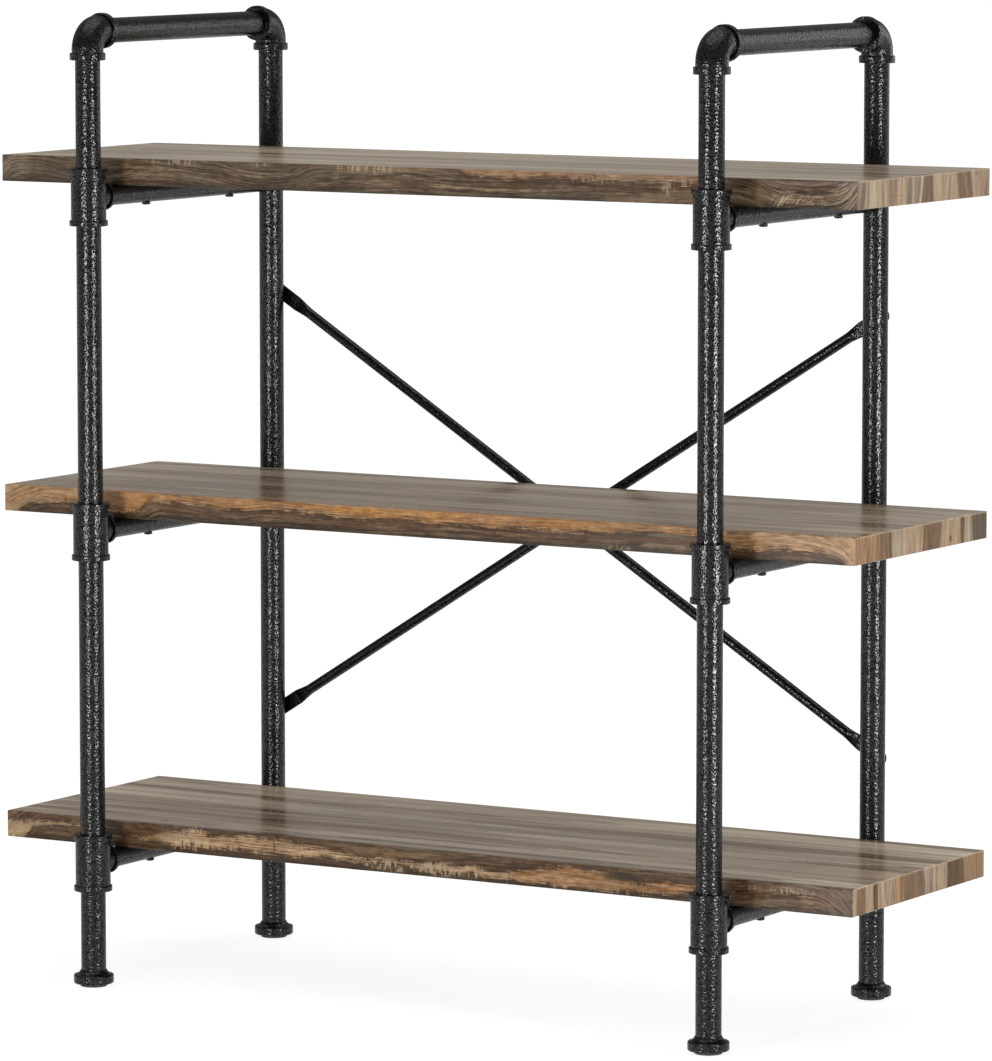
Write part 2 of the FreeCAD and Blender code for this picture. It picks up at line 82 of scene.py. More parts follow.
class Tone(StrEnum):
    """Colours of the staves that a board is glued up from, and of the marks in them."""

    CREAM = "#AC9980"
    PALE = "#998872"
    TAN = "#99836A"
    ROSE = "#947C65"
    ORANGE = "#8C6E51"
    OLIVE = "#736A54"
    GREY = "#766655"
    SMOKE = "#594F3F"
    UMBER = "#6E563F"
    WALNUT = "#5A442B"
    RUST = "#64432D"
    DARK = "#40362B"
    BLACKISH = "#261D15"


class Figure(Enum):
    """How a mark in the wood is drawn: an even patch, upright marks, slanting scratches or grain lines."""

    SOFT = "soft"
    TEETH = "teeth"
    STROKES = "strokes"
    LINES = "lines"


class Face(Enum):
    """Faces of a board, each by the axis along it and the axis up or across it."""

    FRONT = (0, 2)
    END = (1, 2)
    TOP = (0, 1)


def linear(hex_colour: str) -> Colour:
    """Turn an sRGB hex colour into linear light.

    Args:
        hex_colour: Six hex digits after a hash.

    Returns:
        Red, green, blue and an alpha of one.
    """
    channels = []
    for start in (1, 3, 5):
        value = int(hex_colour[start:start + 2], 16) / 255
        channels.append(value / 12.92 if value <= 0.04045 else ((value + 0.055) / 1.055) ** 2.4)
    return (*channels, 1.0)


def add_node(tree: Tree, kind: str, inputs: dict | tuple = (), stops: tuple = (), points: Curve = (),
             **settings: object) -> Outputs:
    """Add one shader node with its settings, constants and links.

    Args:
        tree: Node tree that takes the node.
        kind: Node type without its ShaderNode prefix.
        inputs: Sockets to link and constants, in the order of the node's inputs or by their names.
        stops: Places and colours of a colour ramp, its two ends first.
        points: Places and values of a float curve, its two ends first.
        settings: Properties of the node.

    Returns:
        The outputs of the new node.
    """
    node = tree.nodes.new("ShaderNode" + kind)
    for name, value in settings.items():
        setattr(node, name, value)
    named = inputs if isinstance(inputs, dict) else dict(enumerate(inputs))
    for name, value in named.items():
        if isinstance(value, Socket):
            tree.links.new(value, node.inputs[name])
        else:
            node.inputs[name].default_value = value
    for number, (place, colour) in enumerate(stops):
        elements = node.color_ramp.elements
        element = elements[number] if number < 2 else elements.new(place)
        element.position = place
        element.color = colour
    for number, (place, value) in enumerate(points):
        curve = node.mapping.curves[0].points
        point = curve[number] if number < 2 else curve.new(place, value)
        point.location = (place, value)
        point.handle_type = "AUTO_CLAMPED"
    if points:
        node.mapping.update()
    return node.outputs


def new_material(name: str) -> tuple[Material, Tree, Socket]:
    """Start an empty material.

    Args:
        name: Name of the real material.

    Returns:
        The material, its node tree and coordinates in metres.
    """
    material = bpy.data.materials.new(name)
    material.use_nodes = True
    tree = material.node_tree
    tree.nodes.clear()
    return material, tree, add_node(tree, "TexCoord")["Object"]


def add_surface(tree: Tree, inputs: dict) -> None:
    """Close a material with one surface shader."""
    shader = add_node(tree, "BsdfPrincipled", inputs)
    add_node(tree, "OutputMaterial", {"Surface": shader["BSDF"]})


def streaks(tree: Tree, place: Socket, size_mm: Sizes, detail: float = 3.0, distortion: float = 0.0,
            centred: bool = False) -> Socket:
    """Add noise whose features have a real size.

    Args:
        tree: Node tree that takes the nodes.
        place: Coordinates in metres.
        size_mm: Length of a feature along each coordinate, in millimetres.
        detail: Octaves of finer noise.
        distortion: Swirl of the noise.
        centred: Whether the noise swings about zero.

    Returns:
        A value about one half, or about zero if centred.
    """
    scale = tuple(1 / (size * MM) for size in size_mm)
    scaled = add_node(tree, "VectorMath", (place, scale), operation="MULTIPLY")[0]
    inputs = {"Vector": scaled, "Scale": 1.0, "Detail": detail, "Roughness": 0.6, "Distortion": distortion}
    return add_node(tree, "TexNoise", inputs, normalize=not centred)["Fac"]


class Tint(NamedTuple):
    """A colour that comes in as a pattern goes from start to stop, up to the most that shows."""

    pattern: Socket
    start: float
    stop: float
    most: float
    colour: str


def tinted(tree: Tree, colour: Socket, *tints: Tint) -> Socket:
    """Lay tints over a colour, one after the other.

    Args:
        tree: Node tree that takes the nodes.
        colour: Colour under the tints.
        tints: The tints.

    Returns:
        The tinted colour.
    """
    for tint in tints:
        amount = add_node(tree, "MapRange", (tint.pattern, tint.start, tint.stop, 0.0, tint.most))[0]
        colour = add_node(tree, "MixRGB", (amount, colour, linear(tint.colour)))[0]
    return colour


@dataclass(frozen=True)
class HammeredPaint:
    """Hammer-finish enamel, sprayed on steel tube and castings.

    It dries into small rounded cells, so that a highlight breaks up into bright specks on near-black.
    """

    name: str = "hammered_black_enamel"
    crest: str = "#101011"
    valley: str = "#040404"
    cell_mm: float = 2.8
    cell_blur: float = 0.4
    warp_mm: float = 5.0
    warp_reach_mm: float = 1.6
    relief_mm: float = 0.4
    grit_mm: float = 1.0
    grit_share: float = 0.3
    roughness: float = 0.14
    ior: float = 1.42
    pit_gloss: float = 0.05
    ridge_gloss: float = 0.53
    rim_share: float = 0.1

    def material(self) -> Material:
        """Build the enamel.

        Returns:
            Its material.
        """
        material, tree, place = new_material(self.name)
        warp = add_node(tree, "TexNoise", {"Vector": place, "Scale": 1 / (self.warp_mm * MM)})["Color"]
        reach = (self.warp_reach_mm * MM,) * 3
        moved = add_node(tree, "VectorMath", (warp, reach, place), operation="MULTIPLY_ADD")[0]
        cells = add_node(tree, "TexVoronoi", {"Vector": moved, "Scale": 1 / (self.cell_mm * MM),
                                              "Smoothness": self.cell_blur}, feature="SMOOTH_F1")["Distance"]
        grit = streaks(tree, place, (self.grit_mm,) * 3, 1.0)
        height = add_node(tree, "Math", (grit, self.grit_share, cells), operation="MULTIPLY_ADD")[0]
        bump = add_node(tree, "Bump", {"Strength": 1.0, "Distance": self.relief_mm * MM, "Height": height})
        colour = add_node(tree, "ValToRGB", (cells,),
                          stops=((0.1, linear(self.valley)), (0.7, linear(self.crest))))
        # The pigment dulls the pits. At a flat angle the cells hide each other, so a tube's rim is dull too.
        speckle = add_node(tree, "MapRange", (cells, 0.15, 0.55, self.pit_gloss, self.ridge_gloss))[0]
        turned = add_node(tree, "LayerWeight", {"Blend": 0.5})["Facing"]
        rim = add_node(tree, "MapRange", (turned, 0.3, 0.8, 1.0, self.rim_share))[0]
        gloss = add_node(tree, "Math", (speckle, rim), operation="MULTIPLY")[0]
        add_surface(tree, {"Base Color": colour["Color"], "Specular IOR Level": gloss, "IOR": self.ior,
                           "Normal": bump["Normal"], "Roughness": self.roughness})
        return material


@dataclass(frozen=True)
class BlackenedSteel:
    """Oil-blackened steel screws and bolts: a smooth dark metal with a faint mottle."""

    name: str = "blackened_steel"
    dark: str = "#1E1E20"
    worn: str = "#38383A"
    mottle_mm: float = 1.6
    smooth: float = 0.3
    rough: float = 0.46

    def material(self) -> Material:
        """Build the blackened steel.

        Returns:
            Its material.
        """
        material, tree, place = new_material(self.name)
        mottle = streaks(tree, place, (self.mottle_mm,) * 3)
        colour = add_node(tree, "ValToRGB", (mottle,),
                          stops=((0.35, linear(self.dark)), (0.7, linear(self.worn))))
        roughness = add_node(tree, "MapRange", (mottle, *NOISE_SPAN, self.smooth, self.rough))[0]
        add_surface(tree, {"Base Color": colour["Color"], "Roughness": roughness, "Metallic": 1.0})
        return material


@dataclass(frozen=True)
class FineTexture:
    """A finish whose fine marks shade its colour and stand out a little."""

    name: str
    dark: str
    pale: str
    span: tuple[float, float]
    mark_mm: Sizes
    relief_mm: float
    strength: float
    roughness: float
    metallic: float = 0.0

    @cache
    def material(self) -> Material:
        """Build the finish.

        Returns:
            Its material.
        """
        material, tree, place = new_material(self.name)
        marks = streaks(tree, place, self.mark_mm)
        colour = add_node(tree, "ValToRGB", (marks,),
                          stops=tuple(zip(self.span, (linear(self.dark), linear(self.pale)))))
        bump = add_node(tree, "Bump", {"Strength": self.strength, "Distance": self.relief_mm * MM,
                                       "Height": marks})
        add_surface(tree, {"Base Color": colour["Color"], "Normal": bump["Normal"],
                           "Metallic": self.metallic, "Roughness": self.roughness})
        return material


# Zinc plated steel, turned and threaded: a pale grey metal with fine turning marks round its axis.
ZINC_PLATE = FineTexture("zinc_plated_steel", dark="#8E9092", pale="#B9BBBD", span=(0.3, 0.65),
                         mark_mm=(20.0, 20.0, 0.5), relief_mm=0.05, strength=0.3, roughness=0.33,
                         metallic=1.0)
# Moulded polyethylene glides: matt black with the fine spark texture of the mould.
GLIDE_PLASTIC = FineTexture("moulded_polyethylene", dark="#171717", pale="#2B2B2A", span=(0.4, 0.75),
                            mark_mm=(0.7, 0.7, 0.7), relief_mm=0.1, strength=0.4, roughness=0.55)


@dataclass(frozen=True)
class Mark:
    """A patch of another tone in a face of a board.

    Its middle is so many millimetres from the middle of the unit along the face, at a share of the way up or
    across it, and its reach is half its length and half its width.
    """

    along_mm: float
    across_share: float
    reach_mm: tuple[float, float]
    tone: Tone
    strength: float
    figure: Figure = Figure.SOFT


@dataclass(frozen=True)
class Canvas:
    """What the wood of one board is drawn on: its node tree, its coordinates and its corners.

    Axes are the coordinates in metres, one by one, and shares are the same from 0 to 1 across the board.
    """

    tree: Tree
    place: Socket
    axes: list[Socket]
    shares: list[Socket]
    low: Vector
    high: Vector


@dataclass(frozen=True)
class EdgeFields:
    """Patterns that the front edge of a board is drawn from.

    Depth is how far a place lies inside the sapwood, as a share of the thickness, and below zero outside it.
    """

    depth: Socket
    fine: Socket
    band: Socket
    figure: Socket
    hue: Socket
    wave: Socket
    teeth: Socket
    strokes: Socket


@dataclass(frozen=True)
class StaveWood:
    """Lacquered hardwood glued up from staves, with a live-edge stave along the front.

    Long streaks run along the top, the ends show the staves side by side, and along the front edge pale
    sapwood meets dark heartwood in a ragged line. The satin lacquer goes pale at a flat angle.

    The curves run from 0 at the left end to 1 at the right. They give heights as shares of the board's
    thickness: where the sapwood starts and stops, and how the grain lines rise and fall. They also give how
    orange the sapwood is and how ragged its edges are.
    """

    name: str
    sap_low: Curve
    drift: Curve
    warmth: Curve
    ragged: Curve
    staves: tuple[tuple[float, Tone], ...]
    marks: tuple[Mark, ...]
    top_marks: tuple[Mark, ...]
    end_marks: tuple[Mark, ...]
    heart_dark: str
    heart_mid: str
    heart_pale: str
    sap_high: Curve = ((0.0, 1.5), (1.0, 1.5))
    sap_pale: str = "#A88E6F"
    sap_orange: str = "#9C6B38"
    sap_gleam: str = "#C2A47E"
    # Top tones. The middle and bottom boards keep these paler ones: partly their own wood,
    # partly painted light that makes up for the shade the board above casts on them.
    top_dark: str = "#674B2C"
    top_pale: str = "#E8D8C0"
    heart_stave_mm: float = 12.0
    sap_stave_mm: float = 48.0
    edge_mm: float = 4.0
    joint_mm: float = 1.6
    # Width of the painted highlight along the top edge of each end.
    edge_highlight_mm: float = 2.4
    relief_mm: float = 0.2
    relief_strength: float = 0.25
    wave_share: float = 0.1
    strand_share: float = 0.3
    top_strand_share: float = 0.5
    thread_share: float = 0.5
    stave_share: float = 0.15
    fray_share: float = 0.4
    bend_scale: float = 2.3
    bend_reach: float = 0.7
    grain_share: float = 0.6
    lean_share: float = 0.35
    stroke_lean: float = -32.0
    fine_mm: Sizes = (24.0, 12.0, 1.1)
    band_mm: Sizes = (110.0, 40.0, 4.2)
    gate_mm: Sizes = (26.0, 60.0, 60.0)
    tooth_mm: Sizes = (3.4, 9.0, 13.0)
    stroke_mm: Sizes = (1.3, 9.0, 16.0)
    wave_mm: Sizes = (34.0, 30.0, 40.0)
    plank_mm: Sizes = (230.0, 4.2, 10.0)
    strip_mm: Sizes = (640.0, 36.0, 40.0)
    lean_mm: Sizes = (300.0, 45.0, 300.0)
    pore_mm: Sizes = (8.0, 1.1, 30.0)
    ring_mm: Sizes = (30.0, 7.0, 120.0)
    mottle_mm: Sizes = (11.0, 9.0, 5.0)
    mottle_gain: tuple[float, float] = (0.76, 1.42)
    end_gain: tuple[float, float] = (0.47, 1.55)
    smooth: float = 0.2
    rough: float = 0.28
    ior: float = 1.34
    dull_gloss: float = 0.3
    dense_gloss: float = 0.7
    end_gloss: float = 0.15

    def material(self, low: Vector, high: Vector) -> Material:
        """Build the wood of one board.

        Args:
            low: Lowest corner of the board.
            high: Highest corner of the board.

        Returns:
            The material, drawn in the board's own place.
        """
        material, tree, place = new_material(self.name)
        axes = list(add_node(tree, "SeparateXYZ", (place,)))
        shares = [add_node(tree, "MapRange", (axes[n], low[n], high[n]), clamp=False)[0] for n in range(3)]
        canvas = Canvas(tree, place, axes, shares, low, high)
        fields = self._edge_fields(canvas)
        plank, strip = self._planks(canvas)
        front = self._marked(canvas, fields, self._front(canvas, fields), Face.FRONT, self.marks)
        plank = self._marked(canvas, fields, plank, Face.TOP, self.top_marks)
        ends = self._marked(canvas, fields, self._end_grain(canvas), Face.END, self.end_marks)
        # The front stave reaches further in where it is sapwood.
        staves = (low.y + self.heart_stave_mm * MM, low.y + self.sap_stave_mm * MM)
        border = add_node(tree, "MapRange", (fields.depth, -0.2, 0.2, *staves))[0]
        inside = add_node(tree, "MapRange", (axes[1], low.y + self.edge_mm * MM, border))[0]
        along = add_node(tree, "MixRGB", (inside, front, plank))[0]
        normal = add_node(tree, "SeparateXYZ", (add_node(tree, "NewGeometry")["Normal"],))
        sideways = add_node(tree, "Math", (normal["X"],), operation="ABSOLUTE")[0]
        at_end = add_node(tree, "Math", (sideways, END_FACING), operation="GREATER_THAN")[0]
        relief = add_node(tree, "Math", (fields.fine, strip), operation="ADD")[0]
        bump = add_node(tree, "Bump", {"Strength": self.relief_strength, "Distance": self.relief_mm * MM,
                                       "Height": relief})
        # Dense strips keep more of the lacquer, and the sawn ends soak it up.
        sheen = add_node(tree, "MapRange", (strip, 0.2, 0.8, self.dull_gloss, self.dense_gloss))[0]
        add_surface(tree, {
            "Base Color": add_node(tree, "MixRGB", (at_end, along, ends))[0],
            "Specular IOR Level": add_node(tree, "MapRange", (at_end, 0.0, 1.0, sheen, self.end_gloss))[0],
            "Roughness": add_node(tree, "MapRange", (strip, *NOISE_SPAN, self.smooth, self.rough))[0],
            "Normal": bump["Normal"],
            "IOR": self.ior,
        })
        return material

    def _height_curve(self, canvas: Canvas, points: Curve) -> Socket:
        """Read a height that may lie up to half a thickness above or below the board.

        Args:
            canvas: The board's canvas.
            points: Places along the board, with heights.

        Returns:
            The height, as a share of the thickness.
        """
        raised = tuple((place, (height + 0.5) / 2) for place, height in points)
        curve = add_node(canvas.tree, "FloatCurve", {"Value": canvas.shares[0]}, points=raised)[0]
        return add_node(canvas.tree, "Math", (curve, 2.0, -0.5), operation="MULTIPLY_ADD")[0]

    def _edge_fields(self, canvas: Canvas) -> EdgeFields:
        """Lay out the sapwood and the grain lines of the front stave.

        Args:
            canvas: The board's canvas.

        Returns:
            The patterns.
        """
        tree, place = canvas.tree, canvas.place
        along, _, height = canvas.shares
        sap_low, sap_high, drift = (self._height_curve(canvas, points)
                                    for points in (self.sap_low, self.sap_high, self.drift))
        ragged = add_node(tree, "FloatCurve", {"Value": along}, points=self.ragged)[0]
        teeth = streaks(tree, place, self.tooth_mm, 2.0, centred=True)
        gate = add_node(tree, "MapRange", (streaks(tree, place, self.gate_mm, 1.0), 0.4, 0.6))[0]
        lean = {"Vector": place, "Angle": math.radians(self.stroke_lean)}
        slanted = add_node(tree, "VectorRotate", lean, rotation_type="Y_AXIS")[0]
        strokes = streaks(tree, slanted, self.stroke_mm, 2.0, centred=True)
        wave = streaks(tree, place, self.wave_mm, centred=True)
        swell = add_node(tree, "Math", (wave, self.wave_share, height), operation="MULTIPLY_ADD")[0]
        bite = add_node(tree, "Math", (ragged, gate), operation="MULTIPLY")[0]
        level = add_node(tree, "Math", (teeth, bite, swell), operation="MULTIPLY_ADD")[0]
        over = add_node(tree, "Math", (level, sap_low), operation="SUBTRACT")[0]
        under = add_node(tree, "Math", (sap_high, level), operation="SUBTRACT")[0]
        inside = add_node(tree, "Math", (over, under), operation="MINIMUM")[0]
        flow = add_node(tree, "Math", (height, drift), operation="SUBTRACT")[0]
        rise = add_node(tree, "Math", (flow, canvas.high.z - canvas.low.z), operation="MULTIPLY")[0]
        lines = add_node(tree, "CombineXYZ", (*canvas.axes[:2], rise))[0]
        fine, _ = self._strands(tree, lines, self.fine_mm, self.strand_share)
        band, hue = self._strands(tree, lines, self.band_mm, self.strand_share)
        figure = add_node(tree, "Math", (fine, band), operation="ADD")[0]
        frayed = (fine, 0.0, 1.0, -self.fray_share / 2, self.fray_share / 2)
        fray = add_node(tree, "MapRange", frayed, clamp=False)[0]
        depth = add_node(tree, "Math", (inside, fray), operation="ADD")[0]
        return EdgeFields(depth, fine, band, figure, hue, wave, teeth, strokes)

    def _strands(self, tree: Tree, lines: Socket, size_mm: Sizes, share: float) -> tuple[Socket, Socket]:
        """Bundle the wood into long strands, each of one shade, with a soft grain through them.

        Args:
            tree: Node tree that takes the nodes.
            lines: Coordinates in metres, bent along the grain.
            size_mm: Length of a strand along each coordinate, in millimetres.
            share: How far the shades of the strands differ.

        Returns:
            A shade about one half and a hue about zero.
        """
        scale = tuple(1 / (size * MM) for size in size_mm)
        scaled = add_node(tree, "VectorMath", (lines, scale), operation="MULTIPLY")[0]
        noise = {"Vector": scaled, "Scale": self.bend_scale, "Detail": 2.0}
        bend = add_node(tree, "TexNoise", noise)["Color"]
        reach = (self.bend_reach,) * 3
        bent = add_node(tree, "VectorMath", (bend, reach, scaled), operation="MULTIPLY_ADD")[0]
        cells = add_node(tree, "TexVoronoi", {"Vector": bent, "Scale": 1.0})["Color"]
        random = add_node(tree, "SeparateColor", (cells,))
        grain = streaks(tree, lines, tuple(size * self.grain_share for size in size_mm), 4.0)
        shade = add_node(tree, "Math", (random[0], share, grain), operation="MULTIPLY_ADD")[0]
        level = add_node(tree, "Math", (shade, share / 2), operation="SUBTRACT")[0]
        hue = add_node(tree, "Math", (random[1], 0.5), operation="SUBTRACT")[0]
        return level, hue

    def _front(self, canvas: Canvas, fields: EdgeFields) -> Socket:
        """Draw the front stave: heartwood, and the sapwood in it.

        Args:
            canvas: The board's canvas.
            fields: Patterns of the front edge.

        Returns:
            The colour.
        """
        tree = canvas.tree
        heart, sapwood = self._heartwood(canvas, fields), self._sapwood(canvas, fields)
        sap = add_node(tree, "MapRange", (fields.depth, -0.07, 0.08), interpolation_type="SMOOTHSTEP")[0]
        mixed = add_node(tree, "MixRGB", (sap, heart, sapwood))[0]
        mottle = streaks(tree, canvas.place, self.mottle_mm, 4.0)
        shade = add_node(tree, "MapRange", (mottle, *NOISE_SPAN, *self.mottle_gain))[0]
        return add_node(tree, "VectorMath", {0: mixed, "Scale": shade}, operation="SCALE")[0]

    def _heartwood(self, canvas: Canvas, fields: EdgeFields) -> Socket:
        """Colour the heartwood: fine dark and light lines, redder and darker close to the sapwood.

        Args:
            canvas: The board's canvas.
            fields: Patterns of the front edge.

        Returns:
            The colour.
        """
        shade = add_node(canvas.tree, "MapRange", (fields.figure, 0.76, 1.26))[0]
        lines = add_node(canvas.tree, "ValToRGB", (shade,),
                         stops=((0.0, linear(self.heart_dark)), (1.0, linear(self.heart_pale)),
                                (0.5, linear(self.heart_mid))))["Color"]
        return tinted(canvas.tree, lines,
                      Tint(fields.hue, 0.1, 0.5, 0.35, Tone.RUST),
                      Tint(fields.hue, -0.1, -0.5, 0.3, Tone.OLIVE),
                      Tint(fields.depth, -0.5, -0.08, 0.4, Tone.RUST),
                      Tint(fields.depth, -0.22, -0.06, 0.55, Tone.BLACKISH),
                      # Painted shade: the front goes near black towards its lower edge.
                      Tint(canvas.shares[2], 0.28, 0.0, 0.75, Tone.BLACKISH))

    def _sapwood(self, canvas: Canvas, fields: EdgeFields) -> Socket:
        """Colour the sapwood: pale to orange, with dark streaks and light threads.

        Args:
            canvas: The board's canvas.
            fields: Patterns of the front edge.

        Returns:
            The colour.
        """
        tree = canvas.tree
        warmth = add_node(tree, "FloatCurve", {"Value": canvas.shares[0]}, points=self.warmth)[0]
        warm = add_node(tree, "Math", (fields.hue, 0.7, warmth), operation="MULTIPLY_ADD")[0]
        colour = add_node(tree, "MixRGB", (warm, linear(self.sap_pale), linear(self.sap_orange)))[0]
        return tinted(tree, colour,
                      Tint(fields.band, 0.5, 0.25, 0.45, Tone.RUST),
                      Tint(fields.depth, 0.2, 0.0, 0.4, Tone.RUST),
                      Tint(fields.figure, 0.98, 0.7, 0.6, self.heart_mid),
                      Tint(fields.fine, 0.52, 0.7, 0.5, self.sap_gleam))

    def _marked(self, canvas: Canvas, fields: EdgeFields, colour: Socket, face: Face,
                marks: tuple[Mark, ...]) -> Socket:
        """Lay marks over a face, one after the other.

        Args:
            canvas: The board's canvas.
            fields: Patterns of the front edge.
            colour: Colour under the marks.
            face: The face that has the marks.
            marks: The marks.

        Returns:
            The colour with the marks.
        """
        tree, low, high = canvas.tree, canvas.low, canvas.high
        along, across = face.value
        patterns = {
            Figure.TEETH: (fields.teeth, -0.12, 0.3),
            Figure.STROKES: (fields.strokes, 0.02, 0.2),
            Figure.LINES: (fields.fine, 0.5, 0.62),
        }
        for mark in marks:
            scale, middle = Vector(), Vector()
            scale[along], scale[across] = (1 / (reach * MM) for reach in mark.reach_mm)
            middle[along] = mark.along_mm * MM
            middle[across] = low[across] + mark.across_share * (high[across] - low[across])
            offset = add_node(tree, "VectorMath", (canvas.place, middle), operation="SUBTRACT")[0]
            shaped = add_node(tree, "VectorMath", (offset, scale), operation="MULTIPLY")[0]
            far = add_node(tree, "VectorMath", (shaped,), operation="LENGTH")["Value"]
            waved = add_node(tree, "Math", (fields.wave, 0.7, far), operation="MULTIPLY_ADD")[0]
            blurred = add_node(tree, "Math", (fields.fine, -1.6, waved), operation="MULTIPLY_ADD")[0]
            amount = add_node(tree, "MapRange", (blurred, 0.45, -0.3, 0.0, mark.strength))[0]
            if mark.figure in patterns:
                picked = add_node(tree, "MapRange", patterns[mark.figure])[0]
                amount = add_node(tree, "Math", (amount, picked), operation="MULTIPLY")[0]
            colour = add_node(tree, "MixRGB", (amount, colour, linear(mark.tone)))[0]
        return colour

    def _stave_ramp(self, tree: Tree, across: Socket) -> Socket:
        """Colour the staves by their place across the board.

        Args:
            tree: Node tree that takes the nodes.
            across: Place across the board, as a share of its depth.

        Returns:
            The colour.
        """
        total = sum(width for width, _ in self.staves)
        stops = []
        start = 0.0
        for width, tone in self.staves:
            stops.append(((start + self.joint_mm / 2) / total, linear(tone)))
            start += width
            stops.append(((start - self.joint_mm / 2) / total, linear(tone)))
        return add_node(tree, "ValToRGB", (across,), stops=(stops[0], stops[-1], *stops[1:-1]))["Color"]

    def _planks(self, canvas: Canvas) -> tuple[Socket, Socket]:
        """Draw the staves along their length, as on the top of the board.

        Args:
            canvas: The board's canvas.

        Returns:
            The colour and the shade of its broad strips.
        """
        tree, place = canvas.tree, canvas.place
        thread, _ = self._strands(tree, place, self.plank_mm, self.top_strand_share)
        strip, hue = self._strands(tree, place, self.strip_mm, self.top_strand_share)
        mixed = add_node(tree, "Math", (thread, self.thread_share, strip), operation="MULTIPLY_ADD")[0]
        shade = add_node(tree, "MapRange", (mixed, 0.45, 1.05))[0]
        grain = add_node(tree, "MixRGB", (shade, linear(self.top_dark), linear(self.top_pale)))[0]
        stave = self._stave_ramp(tree, canvas.shares[1])
        colour = add_node(tree, "MixRGB", (self.stave_share, grain, stave))[0]
        colour = tinted(tree, colour,
                        Tint(hue, 0.0, 0.5, 0.3, Tone.ROSE),
                        Tint(hue, 0.0, -0.5, 0.3, Tone.OLIVE),
                        Tint(thread, 0.68, 0.85, 0.6, Tone.CREAM))
        return colour, strip

    def _end_grain(self, canvas: Canvas) -> Socket:
        """Draw the sawn ends of the staves, whose rings lean both ways, with a painted highlight on their
        top edge.

        Args:
            canvas: The board's canvas.

        Returns:
            The colour.
        """
        tree, low, high = canvas.tree, canvas.low, canvas.high
        x, y, z = canvas.axes
        swing = streaks(tree, canvas.place, self.lean_mm, 1.0, centred=True)
        lean = add_node(tree, "Math", (swing, self.lean_share), operation="MULTIPLY")[0]
        raised = add_node(tree, "Math", (z, (low.z + high.z) / 2), operation="SUBTRACT")[0]
        aside = add_node(tree, "Math", (raised, lean, y), operation="MULTIPLY_ADD")[0]
        leaning = add_node(tree, "CombineXYZ", (x, aside, z))[0]
        across = add_node(tree, "MapRange", (aside, low.y, high.y))[0]
        pores = streaks(tree, leaning, self.pore_mm, 3.0, 0.2)
        rings = streaks(tree, leaning, self.ring_mm, 2.0, 0.3)
        figure = add_node(tree, "Math", (pores, rings), operation="ADD")[0]
        shade = add_node(tree, "MapRange", (figure, 0.75, 1.25, *self.end_gain))[0]
        inputs = {0: self._stave_ramp(tree, across), "Scale": shade}
        colour = add_node(tree, "VectorMath", inputs, operation="SCALE")[0]
        # Painted highlight: a pale band along the top edge of each end, where the eased edge catches the
        # light.
        highlight_width = self.edge_highlight_mm * MM
        return tinted(tree, colour, Tint(z, high.z - highlight_width, high.z - highlight_width / 2, 0.5, Tone.CREAM))


TOP_WOOD = StaveWood(
    name="live_edge_staves_top",
    sap_low=((0.0, 1.4), (1.0, 1.4), (0.5, 1.25), (0.55, 1.1), (0.57, 0.8), (0.66, 0.76), (0.75, 0.73),
             (0.8, 0.74), (0.84, 1.0), (0.87, 1.4)),
    drift=((0.0, 0.1), (1.0, 0.9), (0.03, 0.55), (0.1, 0.35), (0.18, 0.5), (0.25, 0.35), (0.33, 0.0),
           (0.39, 0.45), (0.46, 0.55), (0.58, 0.42), (0.68, 0.52), (0.8, 0.5), (0.86, 0.7), (0.93, 0.15),
           (0.97, 0.2)),
    warmth=((0.0, 0.1), (1.0, 0.2), (0.52, 0.1), (0.57, 0.55), (0.75, 0.5), (0.82, 0.3)),
    ragged=((0.0, 0.1), (1.0, 0.1), (0.5, 0.2), (0.6, 0.16), (0.75, 0.3)),
    staves=((20, Tone.GREY), (40, Tone.PALE), (5, Tone.OLIVE), (37, Tone.ROSE), (20, Tone.TAN),
            (14, Tone.GREY), (6, Tone.PALE), (15, Tone.GREY), (6, Tone.PALE), (27, Tone.UMBER),
            (62, Tone.TAN), (38, Tone.UMBER), (46, Tone.ROSE)),
    marks=(
        Mark(-500, 0.5, (70, 22), Tone.DARK, 0.45),
        Mark(-575, 0.62, (24, 12), Tone.OLIVE, 0.4),
        Mark(-580, 0.6, (20, 13), Tone.CREAM, 0.5, Figure.LINES),
        Mark(-342, 0.93, (42, 4), Tone.CREAM, 0.6, Figure.TEETH),
        Mark(-211, 0.93, (17, 4), Tone.CREAM, 0.7, Figure.TEETH),
        Mark(-60, 0.92, (52, 4.5), Tone.CREAM, 0.8, Figure.TEETH),
        Mark(290, 0.1, (20, 5), Tone.ORANGE, 0.6),
        Mark(345, 0.16, (46, 5), Tone.ROSE, 0.65),
        Mark(350, 0.5, (10, 6), Tone.CREAM, 0.7, Figure.TEETH),
        Mark(517, 0.26, (32, 7), Tone.CREAM, 1.0, Figure.STROKES),
        Mark(485, 0.55, (36, 9), Tone.TAN, 0.5, Figure.LINES),
        Mark(586, 0.5, (18, 16), Tone.CREAM, 1.0, Figure.LINES),
    ),
    top_marks=(
        Mark(-150, 0.6, (300, 4), Tone.CREAM, 0.4),
        Mark(250, 0.35, (260, 4), Tone.SMOKE, 0.5),
    ),
    end_marks=(
        Mark(-60, 0.36, (22, 0.5), Tone.RUST, 0.7),
        Mark(152, 0.85, (3, 2.5), Tone.UMBER, 0.7),
    ),
    heart_dark="#30251A", heart_mid="#554535", heart_pale="#847159",
    sap_pale="#937B63", sap_orange="#845A38", top_dark="#6C5B46", top_pale="#CCC0A8",
)
